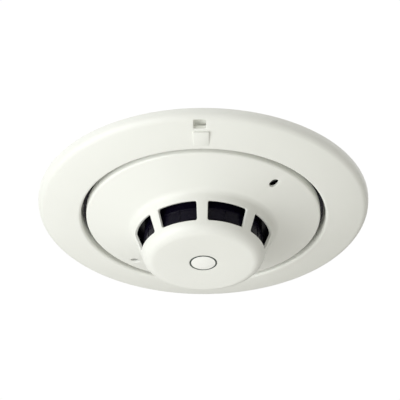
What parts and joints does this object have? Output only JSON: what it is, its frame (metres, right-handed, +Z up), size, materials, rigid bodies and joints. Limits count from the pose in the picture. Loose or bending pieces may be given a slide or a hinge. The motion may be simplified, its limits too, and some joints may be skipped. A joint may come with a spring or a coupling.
{
  "type": "heat detector",
  "caption": "Round ceiling heat detector: a white plug-in head with a windowed sensing throat, held by a twist lock in a wide flanged base.",
  "frame": {"origin": "centre of the base's ceiling face, where the base bears on the ceiling or its electrical box", "axes": "+Z up into the ceiling, so the detector hangs towards -Z; -Y towards the release slot in the flange; +X completes a right-handed frame"},
  "size_m": [0.155, 0.155, 0.0342],
  "materials": {
    "white_plastic": "warm white ABS, fine satin moulding texture",
    "black_plastic": "black ABS, glossy moulding",
    "contact_brass": "plain stamped brass",
    "zinc_steel": "bright zinc plate on steel",
    "board": "glass-epoxy board with green solder mask",
    "chip": "moulded black epoxy",
    "capacitor": "moulded yellow epoxy",
    "clear_lens": "clear acrylic or glass, unlit",
    "sensor_epoxy": "dipped dark epoxy",
    "label": "white film with a thin dark green-grey edge line"
  },
  "bodies": {
    "base": {"mounting_base": "white_plastic", "flange_ring": "white_plastic", "contact_clip_1": "contact_brass", "contact_clip_2": "contact_brass", "contact_clip_3": "contact_brass", "contact_clip_4": "contact_brass"},
    "lever": {"lock_lever": "white_plastic"},
    "head": {"head_body": "black_plastic", "circuit_board": "board", "contact_blade_1": "contact_brass", "contact_blade_2": "contact_brass", "contact_blade_3": "contact_brass", "contact_blade_4": "contact_brass", "board_screw_1": "zinc_steel", "board_screw_2": "zinc_steel", "board_screw_3": "zinc_steel", "microcontroller": "chip", "bridge_rectifier": "chip", "capacitor_1": "capacitor", "capacitor_2": "capacitor", "resistor_1": "chip", "resistor_2": "chip", "resistor_3": "chip", "resistor_4": "chip", "reed_switch": "clear_lens", "status_led_1": "clear_lens", "status_led_2": "clear_lens", "light_pipe_1": "clear_lens", "light_pipe_2": "clear_lens", "thermistor_1": "sensor_epoxy", "thermistor_2": "sensor_epoxy", "sensor_cage": "black_plastic", "cage_cap": "black_plastic", "air_baffle": "black_plastic"},
    "cover": {"head_cover": "white_plastic", "label_disc": "label"},
    "clamp_1": {"clamp_plate_1": "zinc_steel"},
    "screw_1": {"terminal_screw_1": "zinc_steel"},
    "clamp_2": {"clamp_plate_2": "zinc_steel"},
    "screw_2": {"terminal_screw_2": "zinc_steel"},
    "clamp_3": {"clamp_plate_3": "zinc_steel"},
    "screw_3": {"terminal_screw_3": "zinc_steel"},
    "clamp_4": {"clamp_plate_4": "zinc_steel"},
    "screw_4": {"terminal_screw_4": "zinc_steel"}
  },
  "joints": [
    {"name": "head_twist", "type": "hinge", "parent": "base", "child": "head", "pos_m": [0, 0, 0], "axis": [0, 0, -1], "range_deg": [0, 20]},
    {"name": "cover_release", "type": "slide", "parent": "head", "child": "cover", "axis": [0, 0, -1], "range_m": [0, 0.045]},
    {"name": "lock_lever_press", "type": "hinge", "parent": "base", "child": "lever", "pos_m": [0.01708, -0.06375, -0.0022], "axis": [-0.2588, 0.9659, 0], "range_deg": [0, 4], "stiffness_Nm_per_rad": 0.08},
    {"name": "clamp_1_lift", "type": "slide", "parent": "base", "child": "clamp_1", "axis": [0, 0, -1], "range_m": [0, 0.0012]},
    {"name": "screw_1_turn", "type": "hinge", "parent": "clamp_1", "child": "screw_1", "pos_m": [0.02828, -0.02828, -0.004], "axis": [0, 0, -1], "range_deg": [0, 720]},
    {"name": "clamp_2_lift", "type": "slide", "parent": "base", "child": "clamp_2", "axis": [0, 0, -1], "range_m": [0, 0.0012]},
    {"name": "screw_2_turn", "type": "hinge", "parent": "clamp_2", "child": "screw_2", "pos_m": [0.02828, 0.02828, -0.004], "axis": [0, 0, -1], "range_deg": [0, 720]},
    {"name": "clamp_3_lift", "type": "slide", "parent": "base", "child": "clamp_3", "axis": [0, 0, -1], "range_m": [0, 0.0012]},
    {"name": "screw_3_turn", "type": "hinge", "parent": "clamp_3", "child": "screw_3", "pos_m": [-0.02828, 0.02828, -0.004], "axis": [0, 0, -1], "range_deg": [0, 720]},
    {"name": "clamp_4_lift", "type": "slide", "parent": "base", "child": "clamp_4", "axis": [0, 0, -1], "range_m": [0, 0.0012]},
    {"name": "screw_4_turn", "type": "hinge", "parent": "clamp_4", "child": "screw_4", "pos_m": [-0.02828, -0.02828, -0.004], "axis": [0, 0, -1], "range_deg": [0, 720]}
  ],
  "couplings": [
    {"joint": "screw_1_turn", "follows": "clamp_1_lift", "rad_per_m": 10472},
    {"joint": "screw_2_turn", "follows": "clamp_2_lift", "rad_per_m": 10472},
    {"joint": "screw_3_turn", "follows": "clamp_3_lift", "rad_per_m": 10472},
    {"joint": "screw_4_turn", "follows": "clamp_4_lift", "rad_per_m": 10472}
  ]
}
